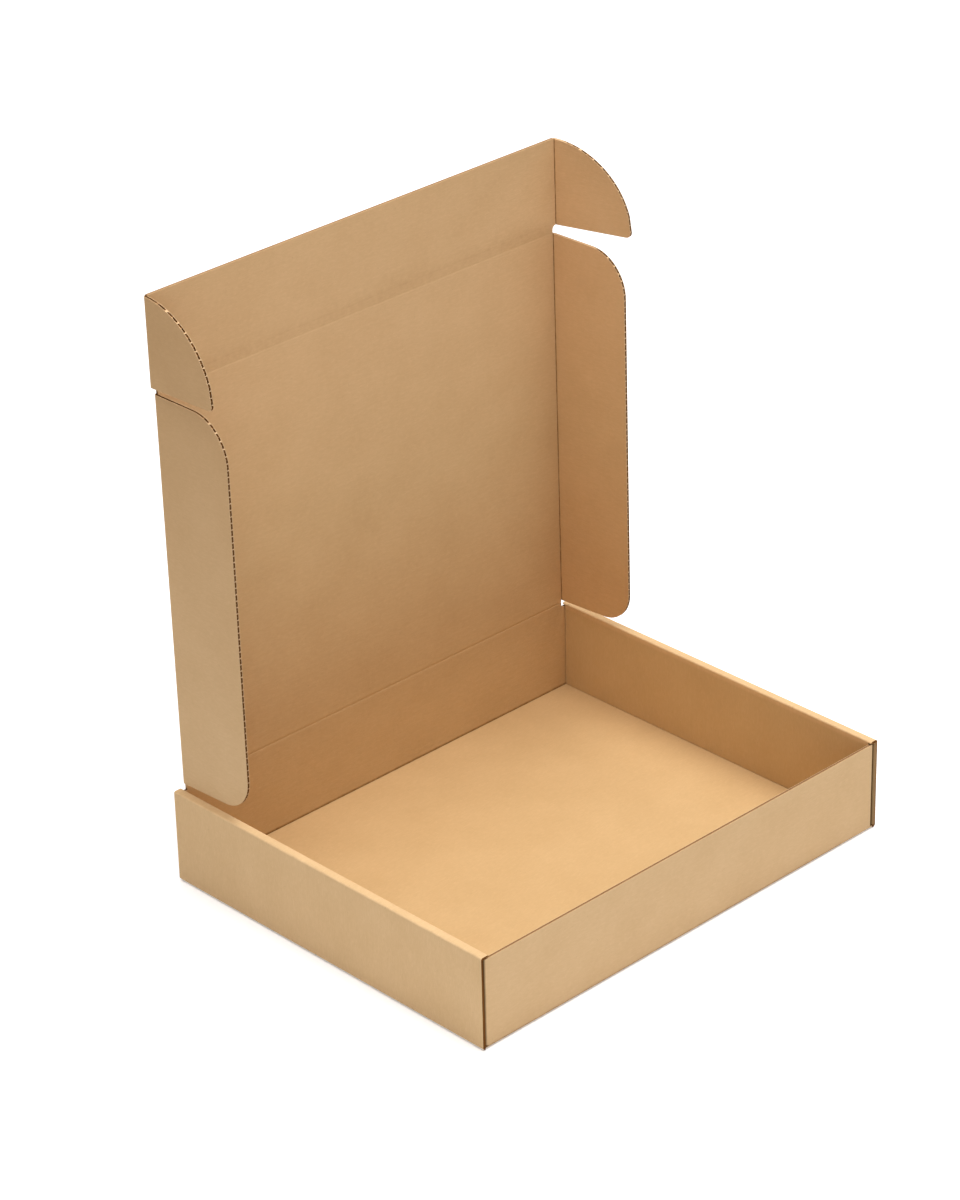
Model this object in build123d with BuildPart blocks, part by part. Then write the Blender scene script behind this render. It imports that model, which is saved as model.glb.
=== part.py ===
"""Folding shipping carton: one die-cut sheet of thin corrugated board, folded into a shallow tray
with a hinged lid. Millimetres, +Z up, +Y to the back. The origin is the centre of the tray's
underside. The lid stands open, as it does while the carton waits to be filled."""

import os
from math import cos, radians, sin

from build123d import *

# Board
board = 1.4
layer_gap = 0.15
score_gap = 0.42
crease_radius = 1.3

# Tray, measured over the outside of its walls
tray_width = 256.0
tray_depth = 200.0
tray_height = 47.0
front_wall_drop = 1.6
inner_panel_lift = 0.2
dust_flap_length = 62.0
dust_flap_taper = 4.0
dust_flap_corner = 8.0

# Lid panel and the crease that joins it to the back wall
lid_lean = 0.7
lid_rest_gap = 0.3
tuck_clearance = 0.3

# Wings on the sides of the lid; their fold lines lie this far inside the side walls' inner faces
wing_fold_inset = 2.3
wing_floor_clearance = 0.4
wing_foot = 1.6
wing_foot_rise = 1.8
wing_top_clearance = 0.4
wing_top_radius = 21.0
wing_foot_radius = 17.0
wing_fold_angle = 89.5

# Tuck flap on the free edge of the lid
tuck_floor_clearance = 0.6
tuck_side_clearance = 0.3

# Ears on the ends of the tuck flap
ear_reach = 43.4
ear_foot = 2.9
ear_foot_rise = 2.7
ear_head_drop = 0.3
ear_tip_radius = 2.6
left_ear_angle = 86.5
right_ear_angle = 82.0

# Places that follow from the sizes above
half_board = board / 2
half_gap = score_gap / 2
half_width = tray_width / 2
half_depth = tray_depth / 2
roll_width = 3 * board + 2 * layer_gap
inner_face = half_width - roll_width
hollow_inner = inner_face + board
hollow_outer = half_width - board
wall_half_width = hollow_outer - layer_gap
roll_underside = tray_height - board
wall_top = tray_height - front_wall_drop
wall_inner_face = half_depth - board
panel_foot = board + inner_panel_lift
hinge_y = half_depth - half_board
hinge_z = tray_height + lid_rest_gap + half_board
lid_length = hinge_y + wall_inner_face - tuck_clearance - half_board
lid_half_width = inner_face - wing_fold_inset
lid_edge = lid_half_width - half_gap
tuck_half_width = inner_face - tuck_side_clearance
tuck_edge = tuck_half_width - half_gap
wing_top = lid_length - half_board - wing_top_clearance
pivot_lift = half_board + half_gap
wing_reach = hinge_z - pivot_lift - board - wing_floor_clearance
tuck_height = hinge_z - board - tuck_floor_clearance
slot_end_radius = tuck_edge - lid_edge
slot_middle = lid_length + ear_foot - slot_end_radius

# The lid's mid-plane: local X to the right, local Y up the lid, normal towards the inside
lean = radians(lid_lean)
lid_plane = Plane(
    origin=(0, hinge_y, hinge_z),
    x_dir=(1, 0, 0),
    z_dir=(0, -cos(lean), sin(lean)),
)


def flap_plane(side, fold_line, angle):
    """Mid-plane of a flap folded inwards by angle degrees about the line at side * fold_line on the lid.
    Local X runs away from the fold and local Y runs up from the hinge crease."""
    turn = radians(angle)
    across = lid_plane.x_dir * side
    inwards = lid_plane.z_dir
    outward = across * cos(turn) + inwards * sin(turn)
    inner = inwards * cos(turn) - across * sin(turn)
    pivot = lid_plane.from_local_coords((side * fold_line, 0, pivot_lift))
    return Plane(origin=pivot - inner * pivot_lift, x_dir=outward, z_dir=inner * side)


section_plane = Plane(lid_plane.origin, x_dir=lid_plane.z_dir, z_dir=lid_plane.x_dir * -1)

with BuildPart() as tray:
    # Floor
    with BuildSketch(Plane.XY):
        Rectangle(2 * hollow_outer, 2 * wall_inner_face)
    extrude(amount=board)
    # Side walls: outer panel and rolled top over the whole depth
    with BuildSketch(Plane.XZ) as roll_section:
        with BuildLine():
            Polyline(
                (hollow_outer, 0),
                (half_width, 0),
                (half_width, tray_height),
                (inner_face, tray_height),
                (inner_face, roll_underside),
                (hollow_outer, roll_underside),
                close=True,
            )
        make_face()
        fillet(roll_section.vertices().group_by(Axis.X)[-1], radius=crease_radius)
        fillet(roll_section.vertices().sort_by(Axis.Y)[-2:].sort_by(Axis.X)[0], radius=crease_radius)
        mirror(about=Plane.YZ)
    extrude(amount=half_depth, both=True)
    # Inner panels of the rolled walls, between the front wall and the back wall
    with BuildSketch(Plane.XY.offset(panel_foot)):
        with Locations((inner_face + half_board, 0), (-inner_face - half_board, 0)):
            Rectangle(board, 2 * (wall_inner_face - layer_gap))
    extrude(amount=roll_underside - panel_foot)
    # Front and back walls, each with a rounded fold at its foot
    with BuildSketch(Plane.YZ) as wall_section:
        with BuildLine():
            Polyline(
                (wall_inner_face, 0),
                (half_depth, 0),
                (half_depth, wall_top),
                (wall_inner_face, wall_top),
                close=True,
            )
        make_face()
        fillet(wall_section.vertices().group_by(Axis.X)[-1].sort_by(Axis.Y)[0], radius=crease_radius)
        mirror(about=Plane.YZ)
    extrude(amount=wall_half_width, both=True)
    # The back wall rises between the rolls to the lid's hinge crease
    with BuildSketch(Plane.YZ):
        with BuildLine():
            Polyline(
                (wall_inner_face, wall_top),
                (half_depth, wall_top),
                (half_depth, hinge_z - half_gap - half_board),
                (hinge_y, hinge_z - half_gap),
                (wall_inner_face, hinge_z - half_gap - half_board),
                close=True,
            )
        make_face()
    extrude(amount=lid_edge, both=True)
    # Dust flaps of the front and back walls, caught between the layers of the side walls
    for side_start in (hollow_inner + layer_gap, -wall_half_width):
        with BuildSketch(Plane.YZ.offset(side_start)) as dust_flaps:
            with BuildLine():
                Polyline(
                    (wall_inner_face, panel_foot),
                    (wall_inner_face, wall_top),
                    (half_depth - dust_flap_length, wall_top - dust_flap_taper),
                    (half_depth - dust_flap_length, panel_foot + dust_flap_taper),
                    close=True,
                )
            make_face()
            fillet(dust_flaps.vertices().group_by(Axis.X)[0], radius=dust_flap_corner)
            mirror(about=Plane.YZ)
        extrude(amount=board)
    # Rounded folds where the dust flaps leave the front and back walls
    fold_edges = tray.edges().filter_by(Axis.Z).filter_by(
        lambda edge: abs(abs(edge.center().X) - wall_half_width) < half_gap
        and abs(abs(edge.center().Y) - half_depth) < half_gap
    )
    fillet(fold_edges, radius=crease_radius)

# Lid panel, ridged at both creases so that it folds either way about the middle of the board
with BuildPart() as lid:
    with BuildSketch(section_plane):
        with BuildLine():
            Polyline(
                (0, half_gap),
                (half_board, half_gap + half_board),
                (half_board, lid_length - half_gap - half_board),
                (0, lid_length - half_gap),
                (-half_board, lid_length - half_gap - half_board),
                (-half_board, half_gap + half_board),
                close=True,
            )
        make_face()
    extrude(amount=lid_edge, both=True)

# Tuck flap, ridged at its crease and plainly cut at its free edge
with BuildPart() as tuck_flap:
    with BuildSketch(section_plane):
        with BuildLine():
            Polyline(
                (0, lid_length + half_gap),
                (half_board, lid_length + half_gap + half_board),
                (half_board, lid_length + tuck_height),
                (-half_board, lid_length + tuck_height),
                (-half_board, lid_length + half_gap + half_board),
                close=True,
            )
        make_face()
    extrude(amount=tuck_edge, both=True)
    # The slots between the ears and the wings end in a half circle at the edges of the lid
    with BuildSketch(lid_plane):
        with Locations((tuck_edge, slot_middle), (-tuck_edge, slot_middle)):
            Circle(slot_end_radius)
    extrude(amount=board, both=True, mode=Mode.SUBTRACT)

pieces = {"tray": tray.part, "lid": lid.part, "tuck_flap": tuck_flap.part}

# Wings, with a slightly rising foot and a rounded corner at foot and top
for name, side in (("lid_left_wing", -1), ("lid_right_wing", 1)):
    with BuildPart() as wing:
        with BuildSketch(flap_plane(side, lid_half_width, wing_fold_angle)) as outline:
            with BuildLine():
                Polyline(
                    (half_gap, wing_foot),
                    (wing_reach, wing_foot + wing_foot_rise),
                    (wing_reach, wing_top),
                    (half_gap, wing_top),
                    close=True,
                )
            make_face()
            fillet(outline.vertices().sort_by(Axis.X)[-2:].sort_by(Axis.Y)[0], radius=wing_foot_radius)
            fillet(outline.vertices().sort_by(Axis.Y)[-2:].sort_by(Axis.X)[-1], radius=wing_top_radius)
        extrude(amount=half_board, both=True)
    pieces[name] = wing.part

# Quarter-round ears: an arc from the free edge of the tuck flap to a small rounded tip
ear_low = lid_length + ear_foot
ear_tip = ear_low + ear_foot_rise
ear_head = lid_length + tuck_height - ear_head_drop
for name, side, angle in (("tuck_left_ear", -1, left_ear_angle), ("tuck_right_ear", 1, right_ear_angle)):
    with BuildPart() as ear:
        with BuildSketch(flap_plane(side, tuck_half_width, angle)) as outline:
            with BuildLine():
                Line((half_gap, ear_head), (half_gap, ear_low))
                Line((half_gap, ear_low), (ear_reach, ear_tip))
                EllipticalCenterArc((half_gap, ear_tip), ear_reach - half_gap, ear_head - ear_tip)
            make_face()
            fillet(outline.vertices().sort_by(Axis.X)[-1], radius=ear_tip_radius)
        extrude(amount=half_board, both=True)
    pieces[name] = ear.part

os.makedirs("parts", exist_ok=True)
for name, piece in pieces.items():
    piece.label = name
    export_step(piece, f"parts/{name}.step")
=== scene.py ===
"""The look of a folding shipping carton: one sheet of thin corrugated board with brown kraft liners,
built as liners, core and open flutes, and bent across its creases. Lengths are in millimetres until
a mesh is made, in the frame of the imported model."""

from math import cos, pi, radians, sin, sqrt

import bmesh
import bpy
from mathutils import Matrix, Vector


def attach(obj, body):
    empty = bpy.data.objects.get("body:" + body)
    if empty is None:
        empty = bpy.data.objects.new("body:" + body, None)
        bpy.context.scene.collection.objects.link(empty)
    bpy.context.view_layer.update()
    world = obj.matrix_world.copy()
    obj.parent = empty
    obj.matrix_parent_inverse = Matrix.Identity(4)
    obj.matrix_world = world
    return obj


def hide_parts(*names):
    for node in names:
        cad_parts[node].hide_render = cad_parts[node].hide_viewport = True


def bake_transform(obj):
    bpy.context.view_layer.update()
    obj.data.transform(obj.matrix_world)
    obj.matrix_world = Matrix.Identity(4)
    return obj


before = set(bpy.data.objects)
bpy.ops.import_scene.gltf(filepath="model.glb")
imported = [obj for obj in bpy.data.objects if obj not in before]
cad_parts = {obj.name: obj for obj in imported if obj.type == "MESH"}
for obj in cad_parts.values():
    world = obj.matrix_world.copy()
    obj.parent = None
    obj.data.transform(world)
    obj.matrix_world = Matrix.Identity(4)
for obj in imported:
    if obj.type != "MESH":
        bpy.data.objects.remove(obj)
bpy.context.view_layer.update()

MM = 0.001
TINY = 1e-6
NEAR = 0.01
SMOOTH_AREA = 2e-4
SHARP_ANGLE = radians(32)

# Board: its half thicknesses, and how far the core and the flutes reach into the liners
BOARD = 1.4
HALF = BOARD / 2
LINER = 0.2
CORE = HALF - LINER
CORE_LAP = 0.02
FLUTE_LAP = 0.01

# Flutes, a wave from -1 to 1: past GLUE_LINES, up and down, the paper lies on the liners, and above CREST
# its edge shows in its own colour
FLUTE_PITCH = 3.15
FLUTE_STEPS = 20
FLUTE_PAPER = 0.14
FLUTE_EVENNESS = 1.6
FLUTE_DEPTH = 5.0
FLUTE_OVERLAP = 1.0
FLUTE_INSET = 0.04
FLUTE_LEAST = 0.1
GLUE_LINES = (0.94, 0.98)
CREST = 0.8

# How far the core lies back from a cut edge
RECESS = 0.5
SHALLOW_RECESS = 0.05
TUCK_RECESS = 0.1
ROLL_RECESS = 0.12
DUST_RECESS = 1

# Tray, measured over the outside of its walls
HALF_WIDTH = 128.0
HALF_DEPTH = 100.0
HEIGHT = 47.0
LAYER_GAP = 0.15
FRONT_DROP = 1.6
PANEL_LIFT = 0.2
PANEL_GAP = 0.35
DUST_GAP = 0.28
FLOOR_GAP = 0.2
WALL_INNER_FACE = HALF_DEPTH - BOARD
INNER_FACE = HALF_WIDTH - 3 * BOARD - 2 * LAYER_GAP
WALL_TOP = HEIGHT - FRONT_DROP
PANEL_FOOT = BOARD + PANEL_LIFT
FLOOR_REACH = WALL_INNER_FACE - FLOOR_GAP
DUST_X = HALF_WIDTH - BOARD - DUST_GAP - HALF
DUST_FLAP = 62.0
DUST_TAPER = 4.0
DUST_CORNER = 8.0
FOOT_OVERHANG = 0.35
PRESSED_END = 1.0

# Folds of the tray: radii in the middle of the board, steps and painted shades. Two pairs, for soft and
# sharp folds, say how steeply, and from where on, painted shade darkens a fold beside a dust flap towards
# its gap
LEAST_RADIUS = 0.03
FOLD_RADIUS = 0.75
ROLL_FOLD = 0.2
SOFT_ROLL_FOLD = 0.8
DUST_FOLD = 0.85
SOFT_DUST_FOLD = 1.3
EVEN_TURNS = tuple(k / 6 for k in range(7))
SOFT_TURNS = (0, 0.06, 0.2, 0.35, 0.5, 0.65, 0.8, 1)
GAP_SHADE_SOFT = (17, 0)
GAP_SHADE_SHARP = (2.2, 0.5)
FOLD_SHADE = 0.8
FOOT_SHADE = ((0.0, 0.95), (0.6, 0.8), (1.3, 0.0))

# Lid and tuck flap. HALF_SCORE is half the gap between two panels at a crease. HINGE_STRIP and TUCK_STRIP
# say how far the board bends to each side of a crease
LEAN = radians(0.7)
HINGE_GAP = 0.3
HALF_SCORE = 0.21
FOLD_INSET = 2.3
TUCK_FRONT_GAP = 0.3
TUCK_SIDE_GAP = 0.3
TUCK_FLOOR_GAP = 0.6
HINGE_Y = HALF_DEPTH - HALF
HINGE_Z = HEIGHT + HINGE_GAP + HALF
LID_LENGTH = HINGE_Y + WALL_INNER_FACE - TUCK_FRONT_GAP - HALF
LID_HALF = INNER_FACE - FOLD_INSET
TUCK_HALF = INNER_FACE - TUCK_SIDE_GAP
TUCK_HEIGHT = HINGE_Z - BOARD - TUCK_FLOOR_GAP
PIVOT_LIFT = HALF + HALF_SCORE
HINGE_STRIP = 1.6
TUCK_STRIP = 1.4
CREASE_DEPTH = 0.32
CREASE_STEP = 0.2
FLAP_STRIP = 0.5

# Wings and ears
WING_FLOOR_GAP = 0.4
WING_TOP_GAP = 0.4
WING_REACH = HINGE_Z - PIVOT_LIFT - BOARD - WING_FLOOR_GAP
WING_FOOT = 1.6
WING_FOOT_RISE = 1.8
WING_TOP = LID_LENGTH - HALF - WING_TOP_GAP
WING_TOP_RADIUS = 21.0
WING_FOOT_RADIUS = 17.0
WING_ANGLE = 89.5
EAR_REACH = 43.4
EAR_FOOT = 2.9
EAR_FOOT_RISE = 2.7
EAR_HEAD_DROP = 0.3
EAR_TIP = EAR_FOOT + EAR_FOOT_RISE
EAR_HEAD = TUCK_HEIGHT - EAR_HEAD_DROP
EAR_TIP_RADIUS = 2.6
EAR_ANGLES = {-1: 86.5, 1: 82.0}
FOLD_RUB = 0.8

# From where to where along V the flutes show
WING_FLUTES = (WING_FOOT + 1.0, WING_TOP - 0.3)
EAR_FLUTES = (EAR_FOOT + 0.8, EAR_HEAD - 0.3)

# The ear's quarter ellipse: its steps, and how many of them give way to the rounded tip
EAR_STEPS = 24
TIP_STEPS = 4

# Where the lid begins on the flat blank: flutes run along the blank's X and follow each other along its Y
BLANK_LID = HALF_DEPTH + HINGE_Z

# Material slots, in the order of PAPERS
OUTER, EDGE_AND_SHADE, HOLLOW_SHADE, FLUTE, INNER, PRESSED = 0, 1, 2, 3, 4, 5
# Painted shade: the colour that creases, the insides of folds and the wall's foot darken to
CREASE_SHADE_COLOUR = (0.27, 0.13, 0.04, 1)
# Painted shade: the near black deep in the gaps beside the dust flaps
GAP_SHADE_COLOUR = (0.075, 0.03, 0.008, 1)

# Painted light and shade: the paper made darker or lighter along the blank's Y, and in zones, where less or
# more light falls on it; darker towards the lid's top and on the inner panels. Zones: from and to |X|, from
# and to Y, then the tint
PAINTED_LIGHT_FROM, PAINTED_LIGHT_TO = -150, 400
OUTER_PAINTED_LIGHT = (
    (-150, (0.985, 0.985, 0.985)),
    (150, (0.985, 0.985, 0.985)),
    (250, (0.935, 0.905, 0.875)),
    (375, (0.855, 0.79, 0.72)),
)
INNER_PAINTED_LIGHT = (
    (-150, (0.935, 0.96, 0.925)),
    (95, (0.985, 0.99, 0.935)),
    (125, (0.985, 0.975, 0.925)),
    (165, (0.91, 0.885, 0.845)),
    (250, (0.935, 0.955, 0.95)),
    (330, (0.985, 0.985, 1.0)),
    (400, (0.955, 0.95, 0.955)),
)
OUTER_PAINTED_LIGHT_ZONES = (
    (126.0, 128.0, 151.0, 149.0, (1.05, 1.055, 1.045, 1)),
    (176.5, 178.0, 151.0, 149.0, (0.885, 0.88, 0.82, 1)),
)
INNER_PAINTED_LIGHT_ZONES = ((121.0, 124.0, 149.0, 151.0, (1.08, 1.055, 1.04, 1)),)

# Name, colour, dark and light tone, roughness, bump, whether it is a cut edge, then painted light and shade
# along Y and in zones
PAPERS = (
    (
        "outer_liner", (0.70, 0.473, 0.254, 1), (0.63, 0.413, 0.208, 1), (0.765, 0.533, 0.297, 1),
        0.84, 0.8, False, OUTER_PAINTED_LIGHT, OUTER_PAINTED_LIGHT_ZONES,
    ),
    # Partly painted shade: the dark brown stands both for the board's own cut edge and for the shade
    # between its flutes
    (
        "cut_edge_and_shade", (0.25, 0.122, 0.039, 1), (0.2, 0.093, 0.029, 1), (0.31, 0.16, 0.055, 1),
        0.92, 0.9, True, (), (),
    ),
    # Painted shade: the near black of the hollows between the flutes and inside the board
    (
        "flute_hollow_shade", (0.19, 0.077, 0.019, 1), (0.15, 0.058, 0.014, 1), (0.235, 0.1, 0.027, 1),
        0.95, 0.5, True, (), (),
    ),
    (
        "flute_paper", (0.69, 0.465, 0.265, 1), (0.63, 0.41, 0.225, 1), (0.75, 0.525, 0.3, 1),
        0.9, 0.6, True, (), (),
    ),
    (
        "inner_liner", (0.641, 0.414, 0.209, 1), (0.572, 0.359, 0.171, 1), (0.705, 0.468, 0.246, 1),
        0.84, 0.8, False, INNER_PAINTED_LIGHT, INNER_PAINTED_LIGHT_ZONES,
    ),
    (
        "pressed_edge", (0.34, 0.19, 0.088, 1), (0.28, 0.15, 0.066, 1), (0.4, 0.235, 0.112, 1),
        0.92, 0.9, True, (), (),
    ),
)

# Layers of the paper's grain: scale along each axis of the blank, noise scale, detail, roughness, and the
# range of the noise that is spread from 0 to 1
GRAIN = {
    "clouds": ((1, 1, 1), 0.035, 3, 0.55, 0.3, 0.7),
    "mottle": ((1, 0.7, 1), 0.42, 5, 0.6, 0.3, 0.7),
    "fibres": ((0.45, 1.9, 1), 0.9, 4, 0.65, 0.3, 0.7),
    "fine": ((1.4, 1, 1), 3.0, 3, 0.7, 0.25, 0.75),
    "specks": ((1.5, 0.8, 3), 1.15, 2, 0.5, 0.70, 0.78),
    "flecks": ((0.7, 1.6, 5), 1.3, 2, 0.5, 0.71, 0.80),
}
COLOUR_SHARE = 0.55
BUMP_DISTANCE = 0.00002
SPECULAR = 0.22
EDGE_SPECULAR = 0.03

# Light
WORLD_LIGHT = 0.2
WORLD_COLOUR = (1.0, 0.9, 0.82, 1)
FLOOR_COLOUR = (0.95, 0.97, 1.0, 1)
FLOOR_GLOW = 0.31
FLOOR_HALF = 8
FLOOR_Z = -0.0004
GLOW_NEAR, GLOW_FAR = 0.7, 1.8
LAMP_TARGET = (0, 0, 0.05)
LAMPS = (
    ("overhead", (0.15, -0.1, 1.75), 1.7, 44.5),
    ("low_fill", (-0.9, -0.86, 0.22), 0.7, 2.35),
)


def lid_point(x, v, n=0.0):
    """A point at x across the lid, v up from the hinge crease and n in front of its mid-plane."""
    return Vector((
        x,
        HINGE_Y + v * sin(LEAN) - n * cos(LEAN),
        HINGE_Z + v * cos(LEAN) + n * sin(LEAN),
    ))


def rectangle(s_low, s_high, v_low, v_high):
    """The corners of a rectangle in the (s, v) plane."""
    return [(s_low, v_low), (s_high, v_low), (s_high, v_high), (s_low, v_high)]


def rounded(points, radii, steps):
    """An outline whose corners are rounded with the radius given for each."""
    out = []
    count = len(points)
    for k, (x, y) in enumerate(points):
        if not radii[k]:
            out.append((x, y))
            continue
        here = Vector((x, y))
        before = (Vector(points[k - 1]) - here).normalized()
        after = (Vector(points[(k + 1) % count]) - here).normalized()
        half = before.angle(after) / 2
        reach = radii[k] / (sin(half) / cos(half))
        centre = here + (before + after).normalized() * (radii[k] / sin(half))
        first = here + before * reach - centre
        last = here + after * reach - centre
        turn = first.angle_signed(last)
        for i in range(steps + 1):
            spoke = first.copy()
            spoke.rotate(Matrix.Rotation(-turn * i / steps, 2))
            out.append(tuple(centre + spoke))
    return out


class Path:
    """A folded line in a plane: straight runs joined by small arcs. s is the length along it."""

    def __init__(self, points, radii, steps=6):
        self.parts = []
        self.stops = [0.0]
        self.folds = []
        self.runs = []
        pts = [Vector(p) for p in points]
        at = pts[0]
        s = 0.0
        for k in range(1, len(pts)):
            along = (pts[k] - pts[k - 1]).normalized()
            last = k == len(pts) - 1
            radius = 0 if last else radii[k - 1]
            end = pts[k] - along * radius
            self.parts.append((s, s + (end - at).length, at, along, None))
            self.runs.append((s, s + (end - at).length))
            s += (end - at).length
            self.stops.append(s)
            if last:
                break
            onward = (pts[k + 1] - pts[k]).normalized()
            turn = 1 if along.cross(onward) > 0 else -1
            centre = end + Vector((-along.y, along.x)) * radius * turn
            turned = radius * pi / 2
            self.parts.append((s, s + turned, centre, end - centre, turn))
            self.folds.append((s, s + turned))
            self.stops += [s + turned * i / steps for i in range(1, steps + 1)]
            s += turned
            at = pts[k] + onward * radius
        self.length = s

    def __call__(self, s, n):
        """The point n to the left of the line at s."""
        for low, high, base, way, turn in self.parts:
            if s <= high + 1e-9:
                break
        if turn is None:
            spot = base + way * (s - low)
            return spot + Vector((-way.y, way.x)) * n
        angle = (s - low) / (high - low) * pi / 2 * turn
        spoke = Vector((way.x * cos(angle) - way.y * sin(angle), way.x * sin(angle) + way.y * cos(angle)))
        return base + spoke.normalized() * max(LEAST_RADIUS, spoke.length - n * turn)

    def fold_at(self, s):
        """1 in the middle of a fold, 0 on the straight runs."""
        for low, high in self.folds:
            if low < s < high:
                return sin((s - low) / (high - low) * pi)
        return 0.0


class Board:
    """A piece of the carton: closed shells, each vertex with its place on the flat blank."""

    def __init__(self, name):
        self.name = name
        self.points = []
        self.faces = []
        self.slots = []
        self.blank = []
        self.marks = []

    def sheet(self, polygons, low, high, place, blank, slots, marks=None):
        """A closed shell over polygons of the (s, v) plane, between the heights low and high. The slots
        are those of its lower side, upper side and rim, where the rim's may depend on the place. marks
        gives the wear, the painted crease shade and the painted shade deep in a gap at a point."""
        low_at = low if callable(low) else lambda s, v: low
        high_at = high if callable(high) else lambda s, v: high
        index = {}
        spots = {}
        edges = set()
        rings = []
        for polygon in polygons:
            ring = []
            for s, v in polygon:
                key = (round(s, 4), round(v, 4))
                if key not in index:
                    index[key] = len(self.points)
                    spots[index[key]] = (s, v)
                    for height in (low_at(s, v), high_at(s, v)):
                        self.points.append(place(s, v, height) * MM)
                        self.blank.append((*blank(s, v), height))
                        self.marks.append(marks(s, v, height) if marks else (0.0, 0.0, 0.0))
                if not ring or ring[-1] != index[key]:
                    ring.append(index[key])
            if ring[0] == ring[-1]:
                ring.pop()
            rings.append(ring)
            edges.update(zip(ring, ring[1:] + ring[:1]))
        for ring in rings:
            self.faces += [[k + 1 for k in ring], list(reversed(ring))]
            self.slots += [slots[1], slots[0]]
        for a, b in edges:
            if (b, a) not in edges:
                self.faces.append([a, b, b + 1, a + 1])
                if callable(slots[2]):
                    (s0, v0), (s1, v1) = spots[a], spots[b]
                    self.slots.append(slots[2]((s0 + s1) / 2, (v0 + v1) / 2))
                else:
                    self.slots.append(slots[2])

    def plies(
        self, polygons, core, place, blank, marks, relief=None, rim=FLUTE, cut=EDGE_AND_SHADE, sides=(OUTER, INNER)
    ):
        """Two liners and the core between them; core holds the polygons that the core fills. rim and cut
        are the slots of the liners' and the core's edges, sides those of the lower and the upper face."""
        lift = relief or (lambda s, v: 0.0)
        self.sheet(polygons, -HALF, -CORE, place, blank, (sides[0], HOLLOW_SHADE, rim), marks)
        self.sheet(
            polygons,
            lambda s, v: CORE - lift(s, v),
            lambda s, v: HALF - lift(s, v),
            place,
            blank,
            (HOLLOW_SHADE, sides[1], rim),
            marks,
        )
        self.sheet(
            core,
            -CORE - CORE_LAP,
            lambda s, v: CORE + CORE_LAP - lift(s, v),
            place,
            blank,
            (EDGE_AND_SHADE, EDGE_AND_SHADE, cut),
        )

    def flutes(self, outline, v_low, v_high, place, blank, shade):
        """The fluted paper that shows in the cut edge of an outline whose flutes run along s. shade is the
        slot of its edge where it runs across the core."""
        count = max(2, round((v_high - v_low) / FLUTE_PITCH * FLUTE_STEPS))
        rows = []
        for k in range(count + 1):
            v = v_low + (v_high - v_low) * k / count
            crossings = []
            for (s0, v0), (s1, v1) in zip(outline, outline[1:] + outline[:1]):
                if (v0 - v) * (v1 - v) <= 0 and v0 != v1:
                    crossings.append(s0 + (s1 - s0) * (v - v0) / (v1 - v0))
            edge = max(crossings) - FLUTE_INSET
            rows.append((max(FLUTE_LEAST, edge - FLUTE_DEPTH), max(2 * FLUTE_LEAST, edge), v))
        wave = CORE - FLUTE_PAPER / 2 + FLUTE_LAP
        slope = sqrt(1 + (wave * 2 * pi / FLUTE_PITCH / FLUTE_EVENNESS) ** 2)
        half = FLUTE_PAPER / 2 * slope

        def lift(v):
            return sin(2 * pi * blank(0, v)[1] / FLUTE_PITCH)

        def glued(v):
            return lift(v) > GLUE_LINES[0] or lift(v) < -GLUE_LINES[1]

        def crest(s, v):
            if lift(v) > CREST:
                return FLUTE
            return PRESSED if glued(v) else shade

        polygons = [
            [(a[0], a[2]), (a[1], a[2]), (b[1], b[2]), (b[0], b[2])]
            for a, b in zip(rows, rows[1:])
        ]
        self.sheet(
            polygons,
            lambda s, v: -CORE - FLUTE_LAP if glued(v) else wave * lift(v) - half,
            lambda s, v: CORE + FLUTE_LAP if glued(v) else wave * lift(v) + half,
            place,
            blank,
            (HOLLOW_SHADE, HOLLOW_SHADE, crest),
        )

    def make(self):
        """The Blender object, with outward normals and soft shading over the folds only."""
        mesh = bpy.data.meshes.new(self.name)
        mesh.from_pydata([tuple(p) for p in self.points], [], self.faces)
        for polygon, slot in zip(mesh.polygons, self.slots):
            polygon.material_index = slot
        place = mesh.attributes.new("blank", "FLOAT_VECTOR", "POINT")
        place.data.foreach_set("vector", [c for p in self.blank for c in p])
        marks = mesh.attributes.new("marks", "FLOAT_VECTOR", "POINT")
        marks.data.foreach_set("vector", [c for p in self.marks for c in p])
        work = bmesh.new()
        work.from_mesh(mesh)
        bmesh.ops.recalc_face_normals(work, faces=work.faces)
        for face in work.faces:
            face.smooth = face.calc_area() < SMOOTH_AREA
        for edge in work.edges:
            edge.smooth = len(edge.link_faces) == 2 and edge.calc_face_angle(0) < SHARP_ANGLE
        work.to_mesh(mesh)
        work.free()
        for material in materials:
            mesh.materials.append(material)
        piece = bpy.data.objects.new(self.name, mesh)
        bpy.context.scene.collection.objects.link(piece)
        return piece


def strips(stops, v_low, v_high):
    """Rectangles between the stops along s, all from v_low to v_high."""
    return [rectangle(a, b, v_low, v_high) for a, b in zip(stops, stops[1:]) if b - a > TINY]


def inset(outline, across, along):
    """The outline drawn in by across where it faces along s and by along where it faces along v."""
    out = []
    count = len(outline)
    root = min(s for s, v in outline)
    for k, (s, v) in enumerate(outline):
        here = Vector((s, v))
        before = (here - Vector(outline[k - 1])).normalized()
        after = (Vector(outline[(k + 1) % count]) - here).normalized()
        way = Vector((before.y + after.y, -before.x - after.x)).normalized()
        if s == root:
            out.append((s, v - along * (1 if way.y > 0 else -1)))
        else:
            out.append((s - across * way.x, v - along * way.y))
    return out


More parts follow.
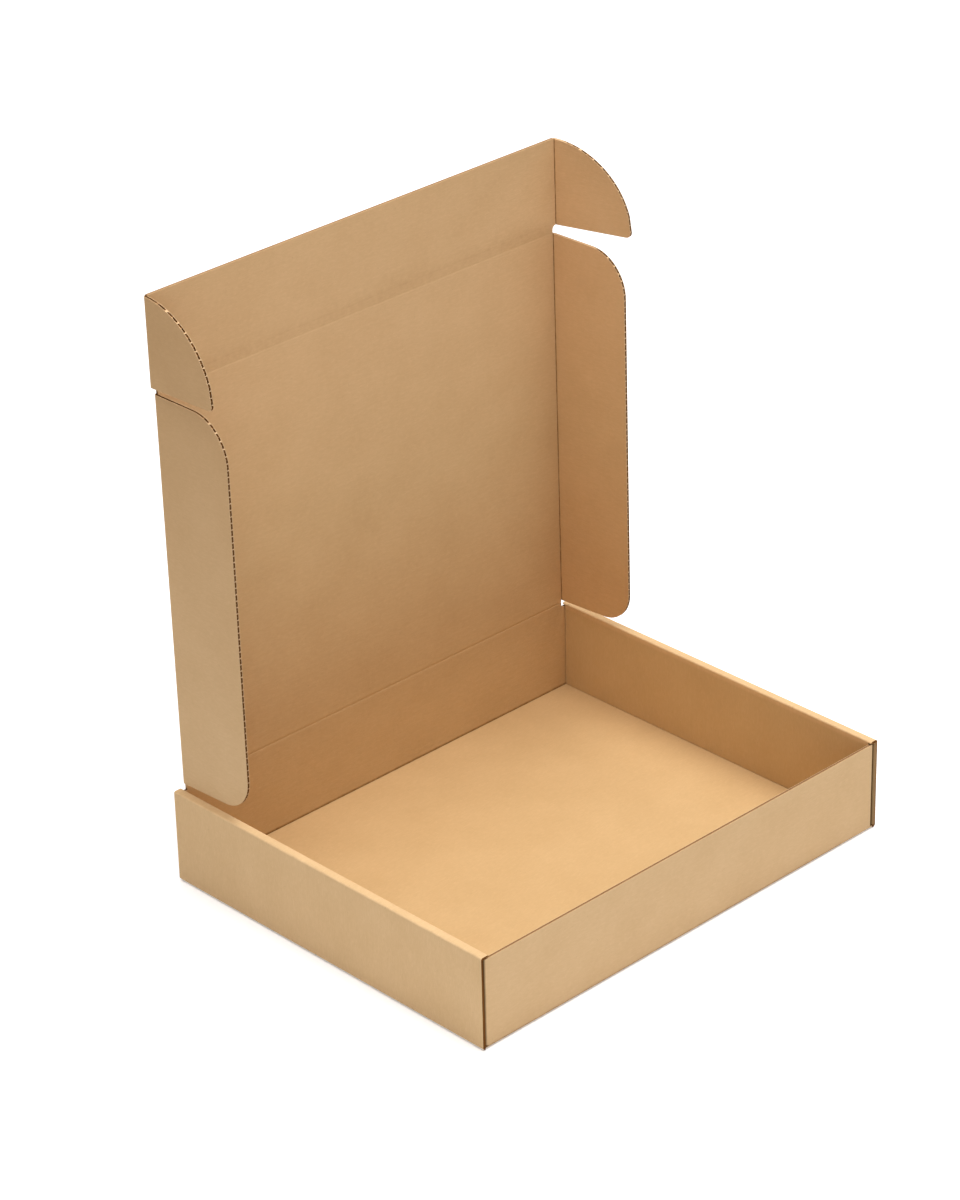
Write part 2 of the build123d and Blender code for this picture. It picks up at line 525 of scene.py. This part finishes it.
def split(outline, at):
    """The outline, whose root lies on s = 0, cut at s = at into a strip beside the root and the rest."""
    cuts = []
    rest = []
    for (s0, v0), (s1, v1) in zip(outline, outline[1:] + outline[:1]):
        if s0 >= at:
            rest.append((s0, v0))
        if (s0 - at) * (s1 - at) < 0:
            cut = (at, v0 + (v1 - v0) * (at - s0) / (s1 - s0))
            cuts.append(cut)
            rest.append(cut)
    low, high = sorted(cuts, key=lambda p: p[1])
    ends = sorted(v for s, v in outline if s == 0)
    return [(0, ends[0]), low, high, (0, ends[1])], rest


def press(v, marks):
    """The value at v of a line through the marks, 0 beyond them."""
    for (v0, d0), (v1, d1) in zip(marks, marks[1:]):
        if v0 <= v <= v1:
            return d0 + (d1 - d0) * (v - v0) / (v1 - v0)
    return 0.0


# Materials


def node(tree, kind, **inputs):
    """A node with the values of its inputs; an underscore in a name stands for a space."""
    made = tree.nodes.new(kind)
    for name, value in inputs.items():
        made.inputs[name.replace("_", " ")].default_value = value
    return made


def compute(tree, operation, *values):
    """The result of a math node on sockets or numbers."""
    made = tree.nodes.new("ShaderNodeMath")
    made.operation = operation
    for socket, value in zip(made.inputs, values):
        if isinstance(value, bpy.types.NodeSocket):
            tree.links.new(value, socket)
        else:
            socket.default_value = value
    return made.outputs["Value"]


def ramp(tree, fac, low, high, low_value=0.0, high_value=1.0):
    """fac, a socket, brought from low and high to the two values and kept between them."""
    made = node(
        tree, "ShaderNodeMapRange", From_Min=low, From_Max=high, To_Min=low_value, To_Max=high_value,
    )
    tree.links.new(fac, made.inputs["Value"])
    return made.outputs["Result"]


def mix(tree, fac, a, b, blend="MIX"):
    """The colour between a and b; each may be a socket or a value."""
    made = tree.nodes.new("ShaderNodeMix")
    made.data_type = "RGBA"
    made.blend_type = blend
    for socket, value in ((0, fac), (6, a), (7, b)):
        if isinstance(value, bpy.types.NodeSocket):
            tree.links.new(value, made.inputs[socket])
        else:
            made.inputs[socket].default_value = value
    return made.outputs[2]


def axes(tree, name):
    """The vector of a mesh attribute, whole and by axis."""
    place = tree.nodes.new("ShaderNodeAttribute")
    place.attribute_name = name
    apart = tree.nodes.new("ShaderNodeSeparateXYZ")
    tree.links.new(place.outputs["Vector"], apart.inputs["Vector"])
    return place.outputs["Vector"], apart.outputs


def grain_layers(tree, place):
    """The layers of GRAIN on the blank and the washboard print of its flutes, each from 0 to 1."""
    out = {}
    for name, (scale, noise_scale, detail, roughness, low, high) in GRAIN.items():
        mapping = node(tree, "ShaderNodeMapping", Scale=scale)
        tree.links.new(place, mapping.inputs["Vector"])
        noise = node(tree, "ShaderNodeTexNoise", Scale=noise_scale, Detail=detail, Roughness=roughness)
        tree.links.new(mapping.outputs["Vector"], noise.inputs["Vector"])
        out[name] = ramp(tree, noise.outputs["Fac"], low, high)
    # A band texture repeats after pi / 10 at scale 1
    wave = node(tree, "ShaderNodeTexWave", Scale=pi / 10 / FLUTE_PITCH, Distortion=0.0)
    wave.wave_type = "BANDS"
    wave.bands_direction = "Y"
    tree.links.new(place, wave.inputs["Vector"])
    out["washboard"] = wave.outputs["Fac"]
    return out


def with_painted_light(tree, tone, axis, painted_light, painted_light_zones):
    """The tone multiplied by painted light and shade along the blank's Y and in zones of its X and Y."""
    band = tree.nodes.new("ShaderNodeValToRGB")
    tree.links.new(ramp(tree, axis["Y"], PAINTED_LIGHT_FROM, PAINTED_LIGHT_TO), band.inputs["Fac"])
    stops = band.color_ramp.elements
    while len(stops) < len(painted_light):
        stops.new(1.0)
    for stop, (y, tint) in zip(stops, painted_light):
        stop.position = (y - PAINTED_LIGHT_FROM) / (PAINTED_LIGHT_TO - PAINTED_LIGHT_FROM)
        stop.color = (*tint, 1)
    tone = mix(tree, 1.0, tone, band.outputs["Color"], "MULTIPLY")
    aside = compute(tree, "ABSOLUTE", axis["X"])
    for low, high, y_low, y_high, tint in painted_light_zones:
        zone = compute(tree, "MULTIPLY", ramp(tree, aside, low, high), ramp(tree, axis["Y"], y_low, y_high))
        tone = mix(tree, 1.0, tone, mix(tree, zone, (1, 1, 1, 1), tint), "MULTIPLY")
    return tone


def times(colour, factor):
    """The colour made lighter or darker."""
    return tuple(min(1, c * factor) for c in colour[:3]) + (1,)


def board_material(name, colour, dark, light, rough, bump, is_edge, painted_light, painted_light_zones):
    """Brown kraft paper: cloudy pulp, fibres along its grain, specks and the print of the flutes."""
    material = bpy.data.materials.new(name)
    material.use_nodes = True
    tree = material.node_tree
    shader = tree.nodes["Principled BSDF"]
    place, axis = axes(tree, "blank")
    layers = grain_layers(tree, place)

    tone = mix(tree, COLOUR_SHARE, mix(tree, layers["clouds"], dark, light), colour)
    for layer, start, low, high, target in (
        ("mottle", 0, 0.0, 0.34, light),
        ("fibres", 0, 0.42, 0.0, dark),
        ("fibres", 0.55, 0.0, 0.3, light),
        ("fine", 0, 0.14, 0.0, dark),
        ("specks", 0, 0.0, 0.35, times(dark, 0.62)),
        ("flecks", 0, 0.0, 0.45, times(light, 1.18)),
        ("washboard", 0, 0.05, 0.0, dark),
    ):
        tone = mix(tree, ramp(tree, layers[layer], start, 1, low, high), tone, target)
    # Painted light and shade along the blank and in zones
    if painted_light:
        tone = with_painted_light(tree, tone, axis, painted_light, painted_light_zones)

    # The marks are how rubbed the paper is, how much painted shade darkens it in creases and folds, and how
    # much painted shade darkens it deep in a gap
    mark = axes(tree, "marks")[1]
    rub = compute(tree, "MULTIPLY", mark["X"], ramp(tree, layers["mottle"], 0, 1, 0.1, 0.5))
    tone = mix(tree, rub, tone, times(light, 1.12))
    crease_shade = compute(tree, "MULTIPLY", mark["Y"], ramp(tree, layers["mottle"], 0, 1, 1.0, 0.45))
    tone = mix(tree, crease_shade, tone, CREASE_SHADE_COLOUR)
    tone = mix(tree, mark["Z"], tone, GAP_SHADE_COLOUR)
    tree.links.new(tone, shader.inputs["Base Color"])

    uneven = ramp(tree, layers["mottle"], 0, 1, rough - 0.06, rough + 0.05)
    tree.links.new(uneven, shader.inputs["Roughness"])
    marked = compute(tree, "MAXIMUM", mark["Y"], mark["Z"])
    specular = ramp(tree, marked, 0, 0.5, EDGE_SPECULAR if is_edge else SPECULAR, 0.0)
    tree.links.new(specular, shader.inputs["Specular IOR Level"])

    height = layers["fine"]
    for layer, share in (("fibres", 1.4), ("mottle", 0.8), ("washboard", 0.0 if is_edge else 1.1)):
        height = compute(tree, "MULTIPLY_ADD", layers[layer], share, height)
    bumped = node(tree, "ShaderNodeBump", Strength=bump, Distance=BUMP_DISTANCE)
    tree.links.new(height, bumped.inputs["Height"])
    tree.links.new(bumped.outputs["Normal"], shader.inputs["Normal"])
    return material


materials = [board_material(*paper) for paper in PAPERS]

# Tray: floor, side walls, rolled tops and inner panels in one folded section
side = Path([
    (-INNER_FACE - HALF, PANEL_FOOT),
    (-INNER_FACE - HALF, HEIGHT - HALF),
    (-HALF_WIDTH + HALF, HEIGHT - HALF),
    (-HALF_WIDTH + HALF, HALF),
    (HALF_WIDTH - HALF, HALF),
    (HALF_WIDTH - HALF, HEIGHT - HALF),
    (INNER_FACE + HALF, HEIGHT - HALF),
    (INNER_FACE + HALF, PANEL_FOOT),
], (ROLL_FOLD, ROLL_FOLD, FOLD_RADIUS, FOLD_RADIUS, SOFT_ROLL_FOLD, ROLL_FOLD))
middle_s = side.length / 2
panel_reach = HINGE_Y - HALF - PANEL_GAP
left_panel, left_roll, _, floor_run, right_wall, right_roll, right_panel = side.runs


def tray_sheets(board):
    """Floor and side walls, then the front and back walls with their dust flaps."""

    def place(s, y, n):
        spot = side(s, n)
        return Vector((spot.x, y, spot.y))

    def on_blank(s, y):
        return (s - middle_s, y)

    def join_at(end, reach_floor, reach_panel):
        """How far the shorter neighbour at s = end reaches in Y, or None."""
        if min(abs(end - left_panel[1]), abs(end - right_panel[0])) < TINY:
            return reach_panel
        if min(abs(end - floor_run[0]), abs(end - floor_run[1])) < TINY:
            return reach_floor
        return None

    def polygons(front, reach_floor, reach_panel):
        """Strips along the section: walls and rolls reach front, the floor and the inner panels less."""
        out = []
        for a, b in zip(side.stops, side.stops[1:]):
            if b - a < TINY:
                continue
            reach = front
            if b <= left_panel[1] + TINY or a >= right_panel[0] - TINY:
                reach = reach_panel
            if a >= floor_run[0] - TINY and b <= floor_run[1] + TINY:
                reach = reach_floor
            low_join = join_at(a, reach_floor, reach_panel) if reach == front else None
            high_join = join_at(b, reach_floor, reach_panel) if reach == front else None
            ring = [(a, -reach), (b, -reach)]
            if high_join:
                ring += [(b, -high_join), (b, high_join)]
            ring += [(b, reach), (a, reach)]
            if low_join:
                ring += [(a, low_join), (a, -low_join)]
            out.append(ring)
        return out

    # Rims: the front edges in painted hollow shade, the right wall's pressed shut, and the back edges and
    # inner panels with the cut edge and its painted shade
    def rim(s, y):
        if y > 0 or s < left_roll[0] or s > right_roll[1]:
            return EDGE_AND_SHADE
        return PRESSED if right_wall[0] < s < right_wall[1] - PRESSED_END else HOLLOW_SHADE

    board.plies(
        polygons(HALF_DEPTH, FLOOR_REACH, panel_reach),
        polygons(HALF_DEPTH - ROLL_RECESS, FLOOR_REACH, panel_reach - RECESS),
        place,
        on_blank,
        marks=lambda s, y, n: (side.fold_at(s) if n < 0 else 0.0, 0.0, 0.0),
        rim=rim,
        cut=rim,
    )
    for way in (-1, 1):
        wall_sheets(board, way)


def wall_sheets(board, way):
    """The front wall (way -1) or the back wall (way 1) and its dust flaps."""
    foot = Path([(-FLOOR_REACH, HALF), (-HINGE_Y, HALF), (-HINGE_Y, HEIGHT)], (FOLD_RADIUS,))
    folds = {1: SOFT_DUST_FOLD if way < 0 else DUST_FOLD, -1: DUST_FOLD}
    plan = Path(
        [(DUST_X, 0.0), (DUST_X, -HINGE_Y), (-DUST_X, -HINGE_Y), (-DUST_X, 0.0)],
        (folds[1], folds[-1]),
    )
    flats = {hand: DUST_X - fold for hand, fold in folds.items()}
    plan_middle = plan.folds[0][1] + flats[1]
    foot_end = foot.folds[0][1]
    foot_z = foot(foot_end, 0).y

    def place(x, b, n):
        """x runs along the wall and on into the dust flaps. b is the height, below foot_z in the fold."""
        if b < foot_z - TINY:
            spot = foot(foot_end + (b - foot_z), n)
            return Vector((x, spot.x * -way, spot.y))
        spot = plan(plan_middle - x, n)
        return Vector((spot.x, spot.y * -way, b))

    def on_blank(x, b):
        return (x, way * (HALF_DEPTH + b))

    fold_stops = [b - foot_end + foot_z for b in foot.stops if b <= foot_end + TINY]

    def polygons(top, flap_in):
        """The fold at the foot, the shaded strips, the wall up to top, then the folds and dust flaps."""
        foot_half = DUST_X + FOOT_OVERHANG
        out = [
            rectangle(-foot_half, foot_half, a, b)
            for a, b in zip(fold_stops[:-1], fold_stops[1:-1])
        ]
        out.append([
            (-foot_half, fold_stops[-2]),
            (foot_half, fold_stops[-2]),
            (foot_half, foot_z),
            (flats[1], foot_z),
            (-flats[-1], foot_z),
            (-foot_half, foot_z),
        ])
        low, high = [foot_z + rise for rise, shade in FOOT_SHADE[1:]]
        out.append([
            (-flats[-1], foot_z),
            (flats[1], foot_z),
            (flats[1], PANEL_FOOT),
            (flats[1], low),
            (-flats[-1], low),
            (-flats[-1], PANEL_FOOT),
        ])
        out.append(rectangle(-flats[-1], flats[1], low, high))
        ring = [(-flats[-1], high), (flats[1], high), (flats[1], top)]
        if way > 0:
            rise = HINGE_Z - HINGE_STRIP
            ring += [(LID_HALF, top), (LID_HALF, rise), (-LID_HALF, rise), (-LID_HALF, top)]
        ring.append((-flats[-1], top))
        out.append(ring)
        for hand in (-1, 1):
            turns = SOFT_TURNS if folds[hand] == SOFT_DUST_FOLD else EVEN_TURNS
            stops = [flats[hand] + folds[hand] * pi / 2 * turn for turn in turns]
            for a, b in zip(stops, stops[1:]):
                ring = rectangle(a, b, PANEL_FOOT, top)
                if a == stops[0]:
                    ring += [(a, high), (a, low)]
                out.append(ring if hand > 0 else [(-x, z) for x, z in reversed(ring)])
            start = stops[-1]
            end = start + DUST_FLAP - 2 * folds[hand] - flap_in
            ring = rounded(
                [
                    (start, PANEL_FOOT),
                    (end, PANEL_FOOT + DUST_TAPER),
                    (end, top - DUST_TAPER),
                    (start, top),
                ],
                [0, DUST_CORNER, DUST_CORNER, 0],
                6,
            )
            out.append(ring if hand > 0 else [(-x, z) for x, z in reversed(ring)])
        return out

    # Wear on the outside of the folds; painted shade on their inside, at the wall's foot and deep in the
    # gap beside a dust flap
    def marks(x, b, n):
        hand = 1 if x > 0 else -1
        over = (abs(x) - flats[hand]) / (folds[hand] * pi / 2)
        fold = max(0.0, sin(pi * over)) if 0 < over < 1 else 0.0
        if b < foot_z:
            fold = max(fold, sin(pi * (b - fold_stops[0]) / (foot_z - fold_stops[0])))
        gap_shade = 0.0
        if b > foot_z + NEAR:
            rise, start = GAP_SHADE_SOFT if folds[hand] == SOFT_DUST_FOLD else GAP_SHADE_SHARP
            gap_shade = min(1.0, max(0.0, over * rise - start))
        shade = press(b - foot_z, FOOT_SHADE) if b >= foot_z - TINY else fold * FOLD_SHADE
        return (fold * (1 - gap_shade) if n > 0 else 0.0, shade if n < 0 else 0.0, gap_shade)

    board.plies(
        polygons(WALL_TOP, 0),
        polygons(WALL_TOP - RECESS / 2, DUST_RECESS),
        place,
        on_blank,
        marks,
        cut=PRESSED,
        sides=(INNER, OUTER),
    )


tray_board = Board("tray_board")
tray_sheets(tray_board)
tray = tray_board.make()
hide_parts("tray")
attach(tray, "tray")


# Creases of the lid, pressed into its inner face: V from the crease with the depth there, and with the
# painted shade
HINGE_MARKS = ((-1.6, 0.0), (-1.1, 0.0), (-0.35, 0.04), (0.0, 0.18), (0.35, 0.07), (1.1, 0.0), (1.6, 0.0))
HINGE_SHADE = ((-1.6, 0.0), (-0.6, 0.0), (-0.1, 0.07), (0.3, 0.11), (0.9, 0.04), (1.6, 0.0))
TUCK_MARKS = ((-1.4, 0.0), (-1.1, 0.0), (-0.8, 0.08), (0.1, 0.05), (0.5, 0.03), (0.9, 0.03), (1.4, 0.0))
TUCK_SHADE = (
    (-1.4, 0.0),
    (-0.7, 0.0),
    (-0.3, 0.1),
    (1.4, 0.11),
    (3.2, 0.12),
    (3.9, 0.18),
    (4.6, 0.09),
    (8.0, 0.04),
    (13.0, 0.0),
)


def crease_stops(middle, marks):
    """Where the strips across a crease meet."""
    return sorted({middle + mark[0] for mark in marks} | {middle + k * CREASE_STEP for k in range(-7, 8)})


def crease_place(x, v, n):
    """lid_point above the hinge crease, and on the back wall below it."""
    return lid_point(x, v, n) if v >= 0 else Vector((x, HINGE_Y - n, HINGE_Z + v))


def lid_blank(x, v):
    return (x, BLANK_LID + v)


hinge = Board("hinge_crease")
hinge_stops = crease_stops(0, HINGE_MARKS)
hinge.sheet(
    [rectangle(-LID_HALF, LID_HALF, a, b) for a, b in zip(hinge_stops, hinge_stops[1:])],
    -HALF,
    lambda x, v: HALF - press(v, HINGE_MARKS),
    crease_place,
    lid_blank,
    (OUTER, INNER, OUTER),
    marks=lambda x, v, n: (0.0, press(v, HINGE_SHADE) if n > 0 else 0.0, 0.0),
)
hinge_piece = hinge.make()
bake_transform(hinge_piece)

lid_board = Board("lid_panel")
lid_board.sheet(
    [rectangle(-LID_HALF, LID_HALF, HINGE_STRIP, LID_LENGTH - TUCK_STRIP)],
    -HALF,
    HALF,
    lid_point,
    lid_blank,
    (OUTER, INNER, OUTER),
)
lid_piece = lid_board.make()
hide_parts("lid")
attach(lid_piece, "lid")

# Tuck flap, narrower at its foot where the slots beside the ears end in half circles
slot_radius = TUCK_HALF - LID_HALF
slot_middle = LID_LENGTH + EAR_FOOT - slot_radius


def tuck_edge_at(v):
    """The half width of the tuck flap's foot at v."""
    rise = min(slot_radius, max(0.0, v - slot_middle))
    return TUCK_HALF - sqrt(slot_radius**2 - rise**2)


tuck_board = Board("tuck_flap_board")
tuck_stops = crease_stops(LID_LENGTH, TUCK_MARKS)
tuck_end = LID_LENGTH + TUCK_HEIGHT


def tuck_polygons(top):
    """Strips across the crease, the quarter-round corners at the slots, then strips up to top."""
    out = [
        [(-tuck_edge_at(a), a), (tuck_edge_at(a), a), (tuck_edge_at(b), b), (-tuck_edge_at(b), b)]
        for a, b in zip(tuck_stops, tuck_stops[1:])
    ]
    start = tuck_stops[-1]
    rise = slot_middle + slot_radius - start
    edge = [(tuck_edge_at(start + rise * k / 8), start + rise * k / 8) for k in range(9)]
    out.append(edge + [(-x, v) for x, v in reversed(edge)])
    corner_end = edge[-1][1]
    shaded = [LID_LENGTH + mark[0] for mark in TUCK_SHADE if LID_LENGTH + mark[0] > corner_end]
    heights = [corner_end, *shaded, top]
    for a, b in zip(heights, heights[1:]):
        out.append(rectangle(-TUCK_HALF, TUCK_HALF, a, b))
    return out


tuck_board.plies(
    tuck_polygons(tuck_end),
    tuck_polygons(tuck_end - TUCK_RECESS),
    lid_point,
    lid_blank,
    relief=lambda x, v: press(v - LID_LENGTH, TUCK_MARKS),
    marks=lambda x, v, n: (0.0, press(v - LID_LENGTH, TUCK_SHADE) if n > 0 else 0.0, 0.0),
    cut=PRESSED,
)
tuck_piece = tuck_board.make()
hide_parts("tuck_flap")
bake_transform(tuck_piece)


def flap(name, side_of, fold_line, angle, v_base, outline, v_low, v_high, bodies, node_name):
    """A wing or an ear: its outline is in (u, v), u away from the fold and v up from v_base. Its flutes
    show from v_low to v_high, on the left as open hollows in painted shade and on the right pressed shut."""
    turn = radians(angle)
    across = Vector((side_of, 0, 0))
    inwards = Vector((0, -cos(LEAN), sin(LEAN)))
    outward = across * cos(turn) + inwards * sin(turn)
    inner = inwards * cos(turn) - across * sin(turn)
    bend = turn * PIVOT_LIFT
    bend_stops = [-bend * (1 - k / 10) for k in range(11)]

    def place(u, v, n):
        pivot = lid_point(side_of * fold_line, v_base + v, PIVOT_LIFT)
        if u >= 0:
            return pivot + outward * u + inner * (n - PIVOT_LIFT)
        spin = -u / PIVOT_LIFT
        radius = PIVOT_LIFT - n
        return pivot - inner * radius * cos(spin) - outward * radius * sin(spin)

    def on_blank(u, v):
        return (side_of * (fold_line + bend + u), BLANK_LID + v_base + v)

    root_low, root_high = sorted(v for u, v in outline if u == 0)

    def bent(u):
        return sin(pi * (u + bend) / bend) if -bend < u < 0 else 0.0

    # Wear on the outside of the bend, painted shade on its inside
    def marks(u, v, n):
        if n < 0:
            return (bent(u) * FOLD_RUB, 0.0, 0.0)
        return (0.0, 1.0 if -bend < u < NEAR else 0.0, 0.0)

    recess = RECESS if side_of < 0 else SHALLOW_RECESS
    core_outline = inset(outline, FLUTE_DEPTH - FLUTE_OVERLAP, recess)
    board = Board(name)
    board.plies(
        strips(bend_stops, root_low, root_high) + list(split(outline, FLAP_STRIP)),
        strips(bend_stops, root_low + recess, root_high - recess) + list(split(core_outline, FLAP_STRIP)),
        place,
        on_blank,
        relief=lambda u, v: bent(u) * CREASE_DEPTH,
        marks=marks,
        cut=EDGE_AND_SHADE if side_of < 0 else FLUTE,
    )
    board.flutes(outline, v_low, v_high, place, on_blank, HOLLOW_SHADE if side_of < 0 else PRESSED)
    piece = board.make()
    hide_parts(node_name)
    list(bodies)
    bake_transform(piece)


wing_outline = rounded(
    [
        (0, WING_FOOT),
        (WING_REACH, WING_FOOT + WING_FOOT_RISE),
        (WING_REACH, WING_TOP),
        (0, WING_TOP),
    ],
    [0, WING_FOOT_RADIUS, WING_TOP_RADIUS, 0],
    16,
)

ear_turns = [pi / 2 * k / EAR_STEPS for k in range(EAR_STEPS + 1)]
ear_curve = [(EAR_REACH * cos(t), EAR_TIP + (EAR_HEAD - EAR_TIP) * sin(t)) for t in ear_turns]
ear_curve[-1] = (0, EAR_HEAD)
tip = rounded([(0, EAR_FOOT), ear_curve[0], ear_curve[TIP_STEPS]], [0, EAR_TIP_RADIUS, 0], 6)
ear_outline = [(0, EAR_FOOT)] + tip[1:-1] + ear_curve[TIP_STEPS:]

for side_of, hand in ((-1, "left"), (1, "right")):
    flap(
        f"{hand}_wing_board",
        side_of,
        LID_HALF,
        WING_ANGLE,
        0.0,
        wing_outline,
        *WING_FLUTES,
        ("lid", f"{hand}_wing"),
        f"lid_{hand}_wing",
    )
    flap(
        f"{hand}_ear_board",
        side_of,
        TUCK_HALF,
        EAR_ANGLES[side_of],
        LID_LENGTH,
        ear_outline,
        *EAR_FLUTES,
        ("tuck_flap", f"{hand}_ear"),
        f"tuck_{hand}_ear",
    )

# Camera at the photograph's viewing angle
CAMERA_PLACE = (-1.10464, -1.12879, 0.974647)
VIEW_RIGHT = Vector((0.715518, -0.698261, -0.021566))
VIEW_DOWN = Vector((-0.342085, -0.323288, -0.882305))
VIEW_AHEAD = Vector((0.609108, 0.638683, -0.470183))
camera_data = bpy.data.cameras.new("camera")
camera_data.sensor_fit = "HORIZONTAL"
camera_data.sensor_width = 36.0
camera_data.lens = 149.71
camera_data.clip_end = 50
camera = bpy.data.objects.new("camera", camera_data)
bpy.context.scene.collection.objects.link(camera)
bpy.context.scene.camera = camera
turned = Matrix((VIEW_RIGHT, -VIEW_DOWN, -VIEW_AHEAD)).transposed().to_4x4()
camera.matrix_world = Matrix.Translation(CAMERA_PLACE) @ turned

# Floor, world and lamps


def shown_to_camera(tree):
    """1 for camera, glossy and transmission rays."""
    path = tree.nodes.new("ShaderNodeLightPath")
    seen = compute(tree, "MAXIMUM", path.outputs["Is Camera Ray"], path.outputs["Is Glossy Ray"])
    return compute(tree, "MAXIMUM", seen, path.outputs["Is Transmission Ray"])


floor_mesh = bpy.data.meshes.new("studio_floor")
floor_corners = [(x * FLOOR_HALF, y * FLOOR_HALF, FLOOR_Z) for x, y in ((-1, -1), (1, -1), (1, 1), (-1, 1))]
floor_mesh.from_pydata(floor_corners, [], [(0, 1, 2, 3)])
floor = bpy.data.objects.new("studio_floor", floor_mesh)
bpy.context.scene.collection.objects.link(floor)
floor_material = bpy.data.materials.new("studio_floor")
floor_material.use_nodes = True
tree = floor_material.node_tree
shader = tree.nodes["Principled BSDF"]
shader.inputs["Base Color"].default_value = FLOOR_COLOUR
shader.inputs["Roughness"].default_value = 1.0
shader.inputs["Specular IOR Level"].default_value = 0.0
shader.inputs["Emission Color"].default_value = (1, 1, 1, 1)
where = tree.nodes.new("ShaderNodeNewGeometry")
away = tree.nodes.new("ShaderNodeVectorMath")
away.operation = "LENGTH"
tree.links.new(where.outputs["Position"], away.inputs[0])
# The floor glows to white for the camera, and more so far from the carton
fade = ramp(tree, away.outputs["Value"], GLOW_NEAR, GLOW_FAR, FLOOR_GLOW, 1.0)
tree.links.new(compute(tree, "MULTIPLY", shown_to_camera(tree), fade), shader.inputs["Emission Strength"])
floor_mesh.materials.append(floor_material)

world = bpy.data.worlds.new("studio")
world.use_nodes = True
bpy.context.scene.world = world
tree = world.node_tree
background = tree.nodes["Background"]
tint = mix(tree, shown_to_camera(tree), WORLD_COLOUR, (1, 1, 1, 1))
tree.links.new(tint, background.inputs["Color"])
strength = ramp(tree, shown_to_camera(tree), 0, 1, WORLD_LIGHT, 1.0)
tree.links.new(strength, background.inputs["Strength"])


def lamp(name, spot, target, size, power):
    """A square lamp at spot that faces target."""
    data = bpy.data.lights.new(name, "AREA")
    data.shape = "SQUARE"
    data.size = size
    data.energy = power
    made = bpy.data.objects.new(name, data)
    made.location = spot
    made.rotation_euler = (Vector(target) - Vector(spot)).to_track_quat("-Z", "Y").to_euler()
    made.visible_camera = False
    bpy.context.scene.collection.objects.link(made)


for name, spot, size, power in LAMPS:
    lamp(name, spot, LAMP_TARGET, size, power)

bpy.context.scene.view_settings.view_transform = "Standard"
